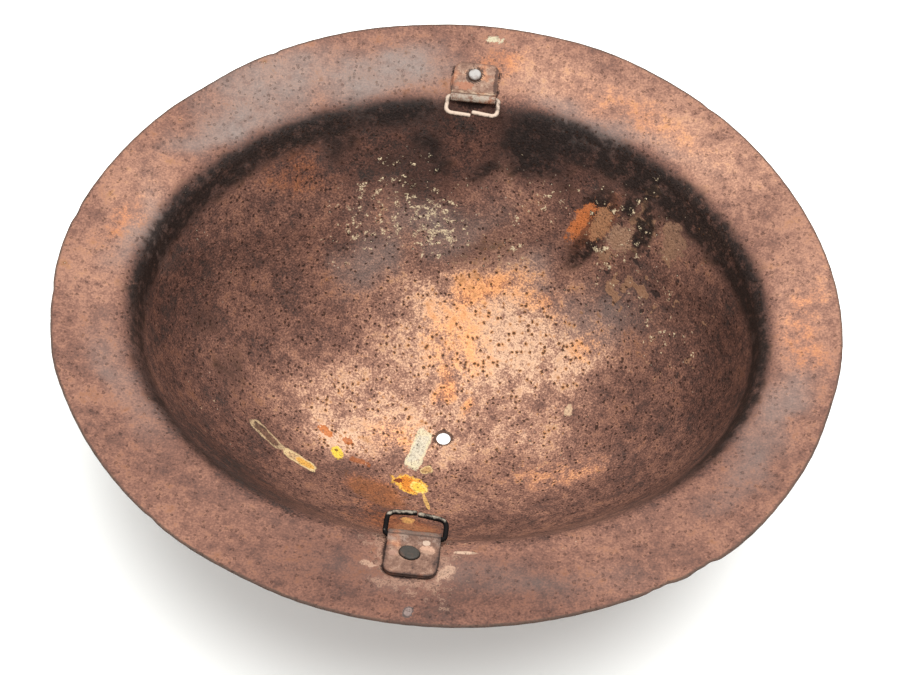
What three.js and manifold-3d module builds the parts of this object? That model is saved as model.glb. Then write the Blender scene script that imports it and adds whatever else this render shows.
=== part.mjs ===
// A steel soup-bowl helmet, lying on its crown with its mouth up: one thin pressing with a broad
// brim, and at each side a folded bracket, riveted to the brim, that carries a bent wire strap loop.
// X runs along the long axis, Y from side to side and Z up from the floor. Sizes are millimetres.
import * as THREE from "three";
import { mergeVertices } from "three/addons/utils/BufferGeometryUtils.js";
import Module from "manifold-3d";

const wasm = await Module();
wasm.setup();
const degrees = THREE.MathUtils.degToRad;

// The shell, pressed from one sheet.
const SHEET = 0.91; // thickness of the steel
const BOWL_LENGTH = 245; // along X, between the corners where wall and brim would meet
const BOWL_WIDTH = 208; // the same along Y
const BRIM_AT_ENDS = 30; // width of the brim at the two ends, seen from above
const BRIM_AT_SIDES = 37; // and at the two sides
const BRIM_RISE = degrees(13); // slope of the brim, up towards its edge as the helmet lies
const RIM_HEIGHT = 109.6; // mean height of the brim's edge
const RIM_WAVE = 2.3; // the edge stands this much higher at the sides and lower at the ends
const WALL_AT_ENDS = degrees(81); // slope of the bowl's wall below the shoulder
const WALL_AT_SIDES = degrees(62);
const STRAIGHT_AT_ENDS = 0.22; // share of the wall's rise that is straight
const STRAIGHT_AT_SIDES = 0.52;
const BOWL_ROUNDNESS = 0.58; // how far the curve below it reaches towards the wall's foot
const SHOULDER_RADIUS = 9; // bend between wall and brim, on the inner face
const SEAT_RADIUS = 9; // flat seat at the crown
const CROWN_HOLE = 6.2; // diameter of the hole in it
const RIM_DENT = 1.6; // the deepest dent or bulge of the brim's edge

// The brackets, each a strip folded round the loop's wire.
const STRIP = 0.8; // thickness of the strip
const STRIP_SLIT = 0.15; // between its two layers
const BRACKET_WIDTH = 19;
const BRACKET_LENGTH = 17; // from the wire's axis to the outer end
const BRACKET_CORNER = 3; // radius of its outer corners
const FOLD_SLOPE = degrees(40); // how steeply the upper layer comes down behind the wire
const EYE_FROM_CORNER = 1; // the wire's axis lies this far outside the bowl's corner

// The rivets, each through both layers of a bracket and the brim.
const RIVET_FROM_EYE = 8.5; // from the wire's axis to the rivet's, before it is moved
const RIVET_SHANK = 3.2; // diameter
const TAIL_RADIUS = 3.3; // of the head under the brim
const TAIL_HEIGHT = 1.2;

// The strap loops, bent from round wire.
const WIRE = 1.9; // diameter
const LOOP_REACH = 9.2; // from the wire's axis in the eye to the outer bar's
const LOOP_CORNER = 3; // how far from an outer corner the wire starts to bend
const EYE_CORNER = 1.6; // the same beside the eye
const LOOP_SPLIT = 0.6; // between the two ends of the wire, which meet in the outer bar

const CLEARANCE = 0.3; // between pieces that touch

// How finely round things are divided.
const AROUND_SHELL = 90;
const BOWL_STEPS = 9;
const SHOULDER_STEPS = 4;
const BRIM_STEPS = 3;
const EYE_STEPS = 14;
const RIVET_SIDES = 16;
const WIRE_SIDES = 8;
const WIRE_STEPS = 50;

// Dents and bulges of the brim's edge: where, how far out as a share of RIM_DENT, and how broad.
const RIM_DENTS = [
  { at: 30, out: -0.5, broad: 12 },
  { at: 70, out: 0.5, broad: 6 },
  { at: 100, out: -0.3, broad: 5 },
  { at: 138, out: -0.5, broad: 4 },
  { at: 176, out: 0.7, broad: 10 },
  { at: 200, out: 0.45, broad: 4 },
  { at: 222, out: -0.75, broad: 15 },
  { at: 247, out: -0.4, broad: 5 },
  { at: 316, out: 1, broad: 8 },
  { at: 346, out: -0.5, broad: 5 },
];

// A rivet head's outline, as shares of its radius and height.
const HEAD_OUTLINE = [
  { out: 1, up: 0 },
  { out: 1, up: 0.3 },
  { out: 0.85, up: 0.68 },
  { out: 0.5, up: 0.93 },
  { out: 0, up: 1 },
];

// The two sides, each seen from the bowl. turn faces it outward, shift moves its bracket along
// the brim, and aside and outward move the rivet off its place at the bracket's middle. The far
// rivet has a proud round head and the near one is hammered flat. The last four are the reach of
// the loop's outer bar, at its corners and at the wire's ends, as shares of LOOP_REACH.
const SIDES = [
  {
    name: "far",
    turn: 0,
    shift: -1,
    aside: -0.5,
    outward: 2.4,
    head: { radius: 2.8, height: 1.7 },
    reach: { leftCorner: 1, leftEnd: 1.08, rightEnd: 0.87, rightCorner: 1.03 },
  },
  {
    name: "near",
    turn: 180,
    shift: -0.2,
    aside: 0.9,
    outward: -1,
    head: { radius: 3.6, height: 0.8 },
    reach: { leftCorner: 0.83, leftEnd: 0.98, rightEnd: 1.03, rightCorner: 0.96 },
  },
];

// A closed solid from a geometry's triangles.
function solidFrom(geometry) {
  const bare = geometry.index ? geometry.toNonIndexed() : geometry.clone();
  bare.deleteAttribute("normal");
  bare.deleteAttribute("uv");
  const merged = mergeVertices(bare, 1e-4);
  return new wasm.Manifold(
    new wasm.Mesh({
      numProp: 3,
      vertProperties: merged.attributes.position.array,
      triVerts: new Uint32Array(merged.index.array),
    }),
  );
}

function geometryFrom(solid) {
  const { vertProperties, triVerts } = solid.getMesh();
  const geometry = new THREE.BufferGeometry();
  geometry.setAttribute("position", new THREE.BufferAttribute(vertProperties, 3));
  geometry.setIndex(new THREE.BufferAttribute(triVerts, 1));
  return geometry;
}

// Half a section of the shell, from the crown's hole to the brim's edge. Each row has a point of
// the inner face and the slope there. The wall is straight below the shoulder, and a curve
// carries it down into the flat seat.
function halfSection({ bowl, brim, wall, straight, lift }) {
  const along = (slope) => new THREE.Vector2(Math.cos(slope), Math.sin(slope));
  const squareTo = (slope) => new THREE.Vector2(-Math.sin(slope), Math.cos(slope));
  const corner = new THREE.Vector2(bowl / 2, RIM_HEIGHT + lift - brim * Math.tan(BRIM_RISE));
  const foot = corner.clone().addScaledVector(along(wall), (SHEET - corner.y) / Math.sin(wall));
  const wallStart = foot.clone().lerp(corner, 1 - straight);
  const seat = new THREE.Vector2(SEAT_RADIUS, SHEET);
  const rows = [
    { at: new THREE.Vector2(CROWN_HOLE / 2, SHEET), slope: 0 },
    { at: seat, slope: 0 },
  ];

  const curve = new THREE.CubicBezierCurve(
    seat,
    seat.clone().lerp(foot, BOWL_ROUNDNESS),
    wallStart.clone().lerp(foot, BOWL_ROUNDNESS),
    wallStart,
  );
  for (let i = 1; i <= BOWL_STEPS; i++) {
    const tangent = curve.getTangent(i / BOWL_STEPS);
    rows.push({ at: curve.getPoint(i / BOWL_STEPS), slope: Math.atan2(tangent.y, tangent.x) });
  }

  const turn = wall - BRIM_RISE;
  const bendStart = corner.clone().addScaledVector(along(wall), -SHOULDER_RADIUS * Math.tan(turn / 2));
  const centre = bendStart.clone().addScaledVector(squareTo(wall), -SHOULDER_RADIUS);
  for (let i = 0; i <= SHOULDER_STEPS; i++) {
    const slope = wall - (turn * i) / SHOULDER_STEPS;
    rows.push({ at: centre.clone().addScaledVector(squareTo(slope), SHOULDER_RADIUS), slope });
  }

  const bendEnd = rows.at(-1).at;
  const edge = corner.clone().addScaledVector(along(BRIM_RISE), brim / Math.cos(BRIM_RISE));
  for (let i = 1; i <= BRIM_STEPS; i++) {
    rows.push({ at: bendEnd.clone().lerp(edge, i / BRIM_STEPS), slope: BRIM_RISE });
  }
  return rows;
}

// How far the brim's edge stands out from its oval at an angle round it.
function rimDent(angle) {
  let out = 0;
  for (const dent of RIM_DENTS) {
    const away = THREE.MathUtils.euclideanModulo(angle - dent.at + 180, 360) - 180;
    out += dent.out * RIM_DENT * Math.exp(-0.5 * (away / dent.broad) ** 2);
  }
  return out;
}

// One ring of the shell, at a depth below its inner face, from a row of the end section and a row
// of the side section. dented is how much of the edge's dents reaches the ring.
function shellRing(end, side, depth, dented) {
  const below = ({ at, slope }) => ({
    out: at.x + depth * Math.sin(slope),
    up: at.y - depth * Math.cos(slope),
  });
  const atEnd = below(end);
  const atSide = below(side);
  const ring = [];
  for (let i = 0; i < AROUND_SHELL; i++) {
    const angle = (360 * i) / AROUND_SHELL;
    const cos = Math.cos(degrees(angle));
    const sin = Math.sin(degrees(angle));
    const plan = new THREE.Vector2(atEnd.out * cos, atSide.out * sin);
    plan.setLength(plan.length() + dented * rimDent(angle));
    ring.push(new THREE.Vector3(plan.x, plan.y, atEnd.up * cos * cos + atSide.up * sin * sin));
  }
  return ring;
}

// A skin over rings of equal count, closed round each ring and from the last ring to the first.
function skinOver(rings) {
  const count = rings[0].length;
  const index = [];
  rings.forEach((ring, r) => {
    const here = r * count;
    const next = ((r + 1) % rings.length) * count;
    for (let i = 0; i < count; i++) {
      const j = (i + 1) % count;
      index.push(here + i, next + i, next + j, here + i, next + j, here + j);
    }
  });
  const geometry = new THREE.BufferGeometry();
  geometry.setAttribute(
    "position",
    new THREE.Float32BufferAttribute(rings.flat().flatMap((point) => point.toArray()), 3),
  );
  geometry.setIndex(index);
  return geometry;
}

function pressedShell() {
  const ends = halfSection({
    bowl: BOWL_LENGTH,
    brim: BRIM_AT_ENDS,
    wall: WALL_AT_ENDS,
    straight: STRAIGHT_AT_ENDS,
    lift: -RIM_WAVE,
  });
  const sides = halfSection({
    bowl: BOWL_WIDTH,
    brim: BRIM_AT_SIDES,
    wall: WALL_AT_SIDES,
    straight: STRAIGHT_AT_SIDES,
    lift: RIM_WAVE,
  });
  const brimStart = ends.length - 1 - BRIM_STEPS;
  const dented = (i) => Math.max(0, (i - brimStart) / BRIM_STEPS) ** 2;
  const face = (depth) => ends.map((end, i) => shellRing(end, sides[i], depth, dented(i)));
  return skinOver([...face(0), ...face(SHEET).reverse()]);
}

// A side's own frame starts at the bowl's corner, with X along the brim, Y out over it and Z
// square to it. These are heights above the brim there.
const eyeInside = WIRE / 2 + CLEARANCE;
const eyeHeight = CLEARANCE + STRIP + eyeInside;
const lowerLayer = CLEARANCE + STRIP / 2;
const upperLayer = lowerLayer + STRIP + STRIP_SLIT;
const bracketTop = upperLayer + STRIP / 2;
const rivetPlace = (side) => [side.aside, EYE_FROM_CORNER + RIVET_FROM_EYE + side.outward, 0];

function sideFrame(side) {
  const cornerHeight = RIM_HEIGHT + RIM_WAVE - BRIM_AT_SIDES * Math.tan(BRIM_RISE);
  return new THREE.Matrix4()
    .makeRotationZ(degrees(side.turn))
    .multiply(new THREE.Matrix4().makeTranslation(side.shift, BOWL_WIDTH / 2, cornerHeight))
    .multiply(new THREE.Matrix4().makeRotationX(BRIM_RISE));
}

// A cutter for the rivet's hole, longer than all that the rivet goes through.
function rivetHole(side) {
  const radius = RIVET_SHANK / 2 + CLEARANCE;
  const hole = new THREE.CylinderGeometry(radius, radius, 8 * (SHEET + bracketTop), RIVET_SIDES);
  return hole.rotateX(Math.PI / 2).translate(...rivetPlace(side));
}

function drilledShell() {
  const holes = SIDES.map((side) => solidFrom(rivetHole(side).applyMatrix4(sideFrame(side))));
  return geometryFrom(holes.reduce((shell, hole) => shell.subtract(hole), solidFrom(pressedShell())));
}

// The middle line of the folded strip in section: in over the brim, round the eye and back out
// over itself.
function foldLine() {
  const radius = eyeInside + STRIP / 2;
  const end = EYE_FROM_CORNER + BRACKET_LENGTH;
  const line = [new THREE.Vector2(end, lowerLayer)];
  for (let i = 0; i <= EYE_STEPS; i++) {
    const angle = -Math.PI / 2 - ((Math.PI + FOLD_SLOPE) * i) / EYE_STEPS;
    const out = EYE_FROM_CORNER + radius * Math.cos(angle);
    line.push(new THREE.Vector2(out, eyeHeight + radius * Math.sin(angle)));
  }
  const leave = line.at(-1);
  const down = leave.y - upperLayer;
  line.push(new THREE.Vector2(leave.x + down / Math.tan(FOLD_SLOPE), upperLayer));
  line.push(new THREE.Vector2(end, upperLayer));
  return line;
}

// The outline of a strip of even thickness along its middle line.
function stripAlong(line) {
  const edge = (way) =>
    line.map((point, i) => {
      const before = point.clone().sub(line[Math.max(i - 1, 0)]).normalize();
      const after = line[Math.min(i + 1, line.length - 1)].clone().sub(point).normalize();
      const mean = before.add(after).normalize();
      const lean = i > 0 && i < line.length - 1 ? mean.dot(after) : 1;
      return point.clone().add(new THREE.Vector2(-mean.y, mean.x).multiplyScalar((way * STRIP) / 2 / lean));
    });
  return new THREE.Shape([...edge(1), ...edge(-1).reverse()]);
}

// The bracket's outline seen from above, square at the eye and with round outer corners.
function bracketPlan() {
  const half = BRACKET_WIDTH / 2;
  const end = EYE_FROM_CORNER + BRACKET_LENGTH;
  const start = EYE_FROM_CORNER - BRACKET_LENGTH;
  return new THREE.Shape()
    .moveTo(-half, start)
    .lineTo(half, start)
    .lineTo(half, end - BRACKET_CORNER)
    .absarc(half - BRACKET_CORNER, end - BRACKET_CORNER, BRACKET_CORNER, 0, Math.PI / 2)
    .absarc(BRACKET_CORNER - half, end - BRACKET_CORNER, BRACKET_CORNER, Math.PI / 2, Math.PI);
}

function foldedBracket(side) {
  const strip = new THREE.ExtrudeGeometry(stripAlong(foldLine()), {
    depth: BRACKET_WIDTH,
    bevelEnabled: false,
  });
  strip.translate(0, 0, -BRACKET_WIDTH / 2);
  strip.applyMatrix4(
    new THREE.Matrix4().makeBasis(
      new THREE.Vector3(0, 1, 0),
      new THREE.Vector3(0, 0, 1),
      new THREE.Vector3(1, 0, 0),
    ),
  );
  const tall = 2 * BRACKET_LENGTH;
  const plan = new THREE.ExtrudeGeometry(bracketPlan(), {
    depth: tall,
    bevelEnabled: false,
    curveSegments: 6,
  });
  plan.translate(0, 0, -tall / 2);
  return geometryFrom(solidFrom(strip).intersect(solidFrom(plan)).subtract(solidFrom(rivetHole(side))));
}

// The rivet, turned in one profile from the tip of the tail's head up to the top of its own.
function rivet(side) {
  const under = bracketTop + CLEARANCE;
  const over = -SHEET - CLEARANCE;
  const headOn = (seat, radius, height) =>
    HEAD_OUTLINE.map(({ out, up }) => new THREE.Vector2(out * radius, seat + up * height));
  const profile = [
    ...headOn(over, TAIL_RADIUS, -TAIL_HEIGHT).reverse(),
    new THREE.Vector2(RIVET_SHANK / 2, over),
    new THREE.Vector2(RIVET_SHANK / 2, under),
    ...headOn(under, side.head.radius, side.head.height),
  ];
  const geometry = new THREE.LatheGeometry(profile, RIVET_SIDES);
  geometry.rotateX(Math.PI / 2);
  return geometry.translate(...rivetPlace(side));
}

// The loop's wire lies in a plane through the eye's axis. From one end in the outer bar it runs
// round through the eye and back to the other end.
function loopPath({ reach }) {
  const legs = BRACKET_WIDTH / 2 + CLEARANCE + WIRE / 2;
  const at = (x, share) => new THREE.Vector3(x, -share * LOOP_REACH, 0);
  const corners = [
    { point: at(-LOOP_SPLIT / 2, reach.leftEnd), bend: 0 },
    { point: at(-legs, reach.leftCorner), bend: LOOP_CORNER },
    { point: at(-legs, 0), bend: EYE_CORNER },
    { point: at(legs, 0), bend: EYE_CORNER },
    { point: at(legs, reach.rightCorner), bend: LOOP_CORNER },
    { point: at(LOOP_SPLIT / 2, reach.rightEnd), bend: 0 },
  ];
  const path = new THREE.CurvePath();
  let from = corners[0].point;
  for (let i = 1; i < corners.length - 1; i++) {
    const { point, bend } = corners[i];
    const towards = (other) => point.clone().add(other.clone().sub(point).setLength(bend));
    const bendStart = towards(corners[i - 1].point);
    const bendEnd = towards(corners[i + 1].point);
    path.add(new THREE.LineCurve3(from, bendStart));
    path.add(new THREE.QuadraticBezierCurve3(bendStart, point, bendEnd));
    from = bendEnd;
  }
  path.add(new THREE.LineCurve3(from, corners.at(-1).point));
  return path;
}

function bentLoop(side) {
  const round = new THREE.Shape().absarc(0, 0, WIRE / 2, 0, 2 * Math.PI);
  return new THREE.ExtrudeGeometry(round, {
    steps: WIRE_STEPS,
    curveSegments: WIRE_SIDES / 2,
    extrudePath: loopPath(side),
  });
}

const helmet = new THREE.Group();

function addPiece(parent, name, geometry, material) {
  const piece = new THREE.Mesh(geometry, material);
  piece.name = name;
  parent.add(piece);
}

const shellSteel = new THREE.MeshStandardMaterial({ color: 0x6b4638, roughness: 0.85, metalness: 0.35 });
addPiece(helmet, "shell", drilledShell(), shellSteel);

const bracketSteel = new THREE.MeshStandardMaterial({ color: 0x77523f, roughness: 0.8, metalness: 0.4 });
const rivetSteel = new THREE.MeshStandardMaterial({ color: 0x5a4a45, roughness: 0.7, metalness: 0.5 });
const wireSteel = new THREE.MeshStandardMaterial({ color: 0x3a2a25, roughness: 0.65, metalness: 0.6 });
for (const side of SIDES) {
  const fittings = new THREE.Group();
  fittings.applyMatrix4(sideFrame(side));
  helmet.add(fittings);
  addPiece(fittings, `strap_bracket_${side.name}`, foldedBracket(side), bracketSteel);
  addPiece(fittings, `bracket_rivet_${side.name}`, rivet(side), rivetSteel);

  // The loop lies level, whatever the brim's slope.
  const eye = new THREE.Group();
  eye.position.set(0, EYE_FROM_CORNER, eyeHeight);
  eye.rotation.x = -BRIM_RISE;
  fittings.add(eye);
  addPiece(eye, `strap_loop_${side.name}`, bentLoop(side), wireSteel);
}

export default helmet;
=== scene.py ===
import math

import bmesh
import bpy
import numpy as np
from mathutils import Matrix, Vector
from mathutils import noise as noise_kit


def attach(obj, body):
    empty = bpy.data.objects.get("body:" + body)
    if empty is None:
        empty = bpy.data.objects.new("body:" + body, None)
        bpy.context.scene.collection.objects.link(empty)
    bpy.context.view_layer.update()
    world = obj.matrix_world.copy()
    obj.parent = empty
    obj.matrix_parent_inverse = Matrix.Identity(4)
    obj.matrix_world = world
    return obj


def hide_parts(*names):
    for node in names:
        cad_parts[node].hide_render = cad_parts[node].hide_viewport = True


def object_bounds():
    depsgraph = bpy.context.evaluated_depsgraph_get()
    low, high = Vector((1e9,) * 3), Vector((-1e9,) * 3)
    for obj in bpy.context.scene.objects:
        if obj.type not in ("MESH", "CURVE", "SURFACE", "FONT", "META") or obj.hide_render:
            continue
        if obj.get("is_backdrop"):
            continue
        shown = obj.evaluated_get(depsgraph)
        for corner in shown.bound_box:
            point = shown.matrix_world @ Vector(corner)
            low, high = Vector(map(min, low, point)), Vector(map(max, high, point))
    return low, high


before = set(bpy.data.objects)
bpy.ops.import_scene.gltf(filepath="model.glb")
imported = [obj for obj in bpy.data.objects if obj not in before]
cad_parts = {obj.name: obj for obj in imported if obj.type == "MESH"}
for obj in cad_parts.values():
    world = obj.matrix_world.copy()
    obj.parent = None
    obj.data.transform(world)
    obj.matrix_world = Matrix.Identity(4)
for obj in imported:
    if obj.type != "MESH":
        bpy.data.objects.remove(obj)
cad_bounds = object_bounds()

# The place it lies in: a plain pale floor in an evenly lit room, with one broad soft light above,
# seen from above its near side.
CAMERA_PLACE = Vector((0.0358, -0.3956, 0.6618))
CAMERA_TURN = math.radians(4.963)
CAMERA_DOWN = math.radians(55.713)
CAMERA_ROLL = math.radians(1.832)
CAMERA_LENS = 70.47
FLOOR_HALF = 3

camera = bpy.data.objects.new("camera", bpy.data.cameras.new("camera"))
camera.data.lens = CAMERA_LENS
camera.data.sensor_width = 36
camera.data.clip_start = 0.01
camera.matrix_world = (
    Matrix.Translation(CAMERA_PLACE)
    @ Matrix.Rotation(CAMERA_TURN, 4, "Z")
    @ Matrix.Rotation(math.pi / 2 - CAMERA_DOWN, 4, "X")
    @ Matrix.Rotation(CAMERA_ROLL, 4, "Z")
)
bpy.context.scene.collection.objects.link(camera)
bpy.context.scene.camera = camera
bpy.context.scene.view_settings.view_transform = "Standard"


def soft_light(name, place, size, power):
    light = bpy.data.objects.new(name, bpy.data.lights.new(name, "AREA"))
    light.data.shape = "DISK"
    light.data.size = size
    light.data.energy = power
    light.location = place
    light.rotation_euler = (-Vector(place)).to_track_quat("-Z", "Y").to_euler()
    bpy.context.scene.collection.objects.link(light)


soft_light("light_above", (0.12, -0.05, 1.2), 1.0, 22)
world = bpy.data.worlds.new("room")
world.use_nodes = True
world.node_tree.nodes["Background"].inputs["Color"].default_value = (1, 0.99, 0.98, 1)
world.node_tree.nodes["Background"].inputs["Strength"].default_value = 1.05
bpy.context.scene.world = world

floor_mesh = bpy.data.meshes.new("floor")
floor_corners = [(x * FLOOR_HALF, y * FLOOR_HALF, 0) for x, y in ((-1, -1), (1, -1), (1, 1), (-1, 1))]
floor_mesh.from_pydata(floor_corners, [], [(0, 1, 2, 3)])
floor = bpy.data.objects.new("floor", floor_mesh)
bpy.context.scene.collection.objects.link(floor)
floor_paint = bpy.data.materials.new("floor_paint")
floor_paint.use_nodes = True
floor_shader = floor_paint.node_tree.nodes["Principled BSDF"]
floor_shader.inputs["Base Color"].default_value = (0.92, 0.94, 0.92, 1)
floor_shader.inputs["Roughness"].default_value = 0.8
floor_mesh.materials.append(floor_paint)
floor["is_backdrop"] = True

# The shell, one pressing of thin manganese steel, with a flat seat and a hole at its crown, a
# steep wall, a rounded shoulder and a broad brim whose raw edge has rusted thin and chipped.
SHEET = 0.00091
BOWL_LENGTH = 0.245
BOWL_WIDTH = 0.208
BRIM_AT_ENDS = 0.030
BRIM_AT_SIDES = 0.037
BRIM_RISE = math.radians(13)
RIM_HEIGHT = 0.1096
RIM_WAVE = 0.0023
WALL_AT_ENDS = math.radians(81)
WALL_AT_SIDES = math.radians(62)
STRAIGHT_AT_ENDS = 0.22
STRAIGHT_AT_SIDES = 0.52
BOWL_ROUNDNESS = 0.58
SHOULDER_RADIUS = 0.009
SEAT_RADIUS = 0.009
CROWN_HOLE = 0.0062
RIM_DENT = 0.0016
RAW_EDGE = 0.006  # the band along the edge that is made finer, for its chips
EDGE_WORN = 0.00012
EDGE_UNEVEN = 0.00004
EDGE_DROP = 0.00002
WAVINESS = 0.0002
LONG_WAVES = (61, 74)  # radians per metre along and across
SHORT_WAVES = (130, 90)
CALM_RADIUS = 0.02  # round the crown's seat, where the bowl is not wavy

CROWN_ROWS = 4
BOWL_ROWS = 62
WALL_ROWS = 14
SHOULDER_ROWS = 14
BRIM_ROWS = 24
EDGE_ROWS = 7
AROUND = 400
FINER_AT_EDGE = 3


def table(columns, *rows):
    """Rows of values under named columns."""
    return [dict(zip(columns.split(), row)) for row in rows]


# Dents and bulges of the brim's edge: where in degrees, how far out as a share of RIM_DENT, and
# how broad in degrees.
RIM_DENTS = table(
    "at out broad",
    (30, -0.5, 12),
    (70, 0.5, 6),
    (100, -0.3, 5),
    (138, -0.5, 4),
    (176, 0.7, 10),
    (200, 0.45, 4),
    (222, -0.75, 15),
    (247, -0.4, 5),
    (316, 1, 8),
    (346, -0.5, 5),
)

# Chips rusted out of the raw edge, in degrees and metres.
RIM_CHIPS = table(
    "at deep broad",
    (311.0, 0.0007, 0.9),
    (313.0, 0.0010, 0.7),
    (306.0, 0.0008, 0.8),
    (304.0, 0.0006, 0.6),
    (125.0, 0.0006, 0.5),
    (186.5, 0.0005, 1.2),
    (171.0, 0.0005, 0.8),
    (232.0, 0.0004, 0.7),
    (50.0, 0.0004, 0.8),
)


def along(slope):
    return np.array([math.cos(slope), math.sin(slope)])


def square_to(slope):
    return np.array([-math.sin(slope), math.cos(slope)])


def half_section(bowl, brim, wall, straight, lift):
    """Points of the inner face from the crown's hole to the edge, with the slope at each."""
    corner = np.array([bowl / 2, RIM_HEIGHT + lift - brim * math.tan(BRIM_RISE)])
    foot = corner + along(wall) * (SHEET - corner[1]) / math.sin(wall)
    wall_start = foot + (corner - foot) * (1 - straight)
    seat = np.array([SEAT_RADIUS, SHEET])
    pull_in = seat + (foot - seat) * BOWL_ROUNDNESS
    pull_up = wall_start + (foot - wall_start) * BOWL_ROUNDNESS
    points = [np.array([r, SHEET]) for r in np.linspace(CROWN_HOLE / 2, SEAT_RADIUS, CROWN_ROWS)]
    slopes = [0.0] * CROWN_ROWS

    for t in np.linspace(0, 1, BOWL_ROWS + 1)[1:]:
        s = 1 - t
        points.append(s**3 * seat + 3 * s * s * t * pull_in + 3 * s * t * t * pull_up + t**3 * wall_start)
        way = s * s * (pull_in - seat) + 2 * s * t * (pull_up - pull_in) + t * t * (wall_start - pull_up)
        slopes.append(math.atan2(way[1], way[0]))

    turn = wall - BRIM_RISE
    bend_start = corner - along(wall) * SHOULDER_RADIUS * math.tan(turn / 2)
    for t in np.linspace(0, 1, WALL_ROWS + 1)[1:]:
        points.append(wall_start + (bend_start - wall_start) * t)
        slopes.append(wall)

    centre = bend_start - square_to(wall) * SHOULDER_RADIUS
    for t in np.linspace(0, 1, SHOULDER_ROWS + 1)[1:]:
        slopes.append(wall - turn * t)
        points.append(centre + square_to(slopes[-1]) * SHOULDER_RADIUS)

    bend_end = points[-1]
    edge = corner + along(BRIM_RISE) * brim / math.cos(BRIM_RISE)
    fine_from = 1 - RAW_EDGE / np.linalg.norm(edge - bend_end)
    coarse_shares = np.linspace(0, fine_from, BRIM_ROWS + 1)[1:]
    for t in [*coarse_shares, *np.linspace(fine_from, 1, EDGE_ROWS + 1)[1:]]:
        points.append(bend_end + (edge - bend_end) * t)
        slopes.append(BRIM_RISE)
    return np.array(points), np.array(slopes)


ends = half_section(BOWL_LENGTH, BRIM_AT_ENDS, WALL_AT_ENDS, STRAIGHT_AT_ENDS, -RIM_WAVE)
sides = half_section(BOWL_WIDTH, BRIM_AT_SIDES, WALL_AT_SIDES, STRAIGHT_AT_SIDES, RIM_WAVE)
row_count = len(ends[1])
brim_start = row_count - 1 - BRIM_ROWS - EDGE_ROWS
edge_start = row_count - 1 - EDGE_ROWS


def bumps_round(degrees, bumps, depth):
    """Sum of a table's bumps at angles round the edge."""
    total = np.zeros_like(degrees)
    for bump in bumps:
        away = (degrees - bump["at"] + 180) % 360 - 180
        total += bump[depth] * np.exp(-0.5 * (away / bump["broad"]) ** 2)
    return total


def shell_ring(row, depth, count):
    """One ring of the shell, at a depth below its inner face."""
    degrees = np.arange(count) * 360 / count
    cos = np.cos(np.radians(degrees))
    sin = np.sin(np.radians(degrees))
    out_end, up_end = ends[0][row] - depth * square_to(ends[1][row])
    out_side, up_side = sides[0][row] - depth * square_to(sides[1][row])
    plan = np.stack([out_end * cos, out_side * sin], 1)
    far = np.linalg.norm(plan, axis=1)
    brim_share = max(0, (row - brim_start) / (BRIM_ROWS + EDGE_ROWS))
    edge_share = max(0, (row - edge_start) / EDGE_ROWS)
    reach = np.linalg.norm(ends[0][row] - ends[0][brim_start]) if row > brim_start else 0
    reach_share = reach / np.linalg.norm(ends[0][-1] - ends[0][brim_start])
    dented = bumps_round(degrees, RIM_DENTS, "out") * RIM_DENT * reach_share**2
    chipped = bumps_round(degrees, RIM_CHIPS, "deep") * edge_share**2
    uneven = np.sin(degrees * 1.9 + 2 * np.sin(degrees * 0.37))
    chipped += (EDGE_WORN + EDGE_UNEVEN * uneven) * edge_share**2
    plan *= ((far + dented - chipped) / far)[:, None]
    x, y = plan.T
    ripple = np.sin(x * LONG_WAVES[0] + 1) * np.sin(y * LONG_WAVES[1] + 2)
    ripple += np.sin(x * SHORT_WAVES[0] + y * SHORT_WAVES[1]) * 0.5
    wavy = np.clip((far - CALM_RADIUS) / (2 * CALM_RADIUS), 0, 1) * (1 - brim_share)
    up = up_end * cos**2 + up_side * sin**2 + WAVINESS * ripple * wavy - EDGE_DROP * edge_share
    return np.column_stack([plan, up])


def rings_to_mesh(name, rings):
    """A closed skin over rings, from each to the next and from the last to the first."""
    starts = np.cumsum([0] + [len(ring) for ring in rings])
    faces = []
    for k, ring in enumerate(rings):
        following = rings[(k + 1) % len(rings)]
        here = starts[k]
        there = starts[(k + 1) % len(rings)]
        fewer = min(len(ring), len(following))
        step_here = len(ring) // fewer
        step_there = len(following) // fewer
        for i in range(fewer):
            lower = [here + (i * step_here + j) % len(ring) for j in range(step_here + 1)]
            upper = [there + (i * step_there + j) % len(following) for j in range(step_there + 1)]
            faces.append(tuple(upper + lower[::-1]))
    mesh = bpy.data.meshes.new(name)
    mesh.from_pydata(np.vstack(rings).tolist(), [], faces)
    mesh.polygons.foreach_set("use_smooth", [True] * len(mesh.polygons))
    piece = bpy.data.objects.new(name, mesh)
    bpy.context.scene.collection.objects.link(piece)
    return piece


def ring_marks(row, inner, count):
    """What each point of a ring is told of its place: inner face or not, the angle in degrees, how
    far below the brim it lies in millimetres and how near the raw edge."""
    turn = np.radians(np.arange(count) * 360 / count)
    below_end = ends[0][brim_start][1] - ends[0][row][1]
    below_side = sides[0][brim_start][1] - sides[0][row][1]
    below = (below_end * np.cos(turn) ** 2 + below_side * np.sin(turn) ** 2) * 1000
    edge_share = max(0, (row - edge_start) / EDGE_ROWS)
    return np.column_stack([np.full(count, inner), np.degrees(turn), below, np.full(count, edge_share)])


def points_round(row):
    return AROUND * (FINER_AT_EDGE if row > edge_start else 1)


rings = [shell_ring(row, 0, points_round(row)) for row in range(row_count)]
marks = [ring_marks(row, 1.0, points_round(row)) for row in range(row_count)]
for share in (0.3, 0.7):
    rings.append(shell_ring(row_count - 1, SHEET * share, points_round(row_count - 1)))
    marks.append(ring_marks(row_count - 1, 1 - share, points_round(row_count - 1)))

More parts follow.
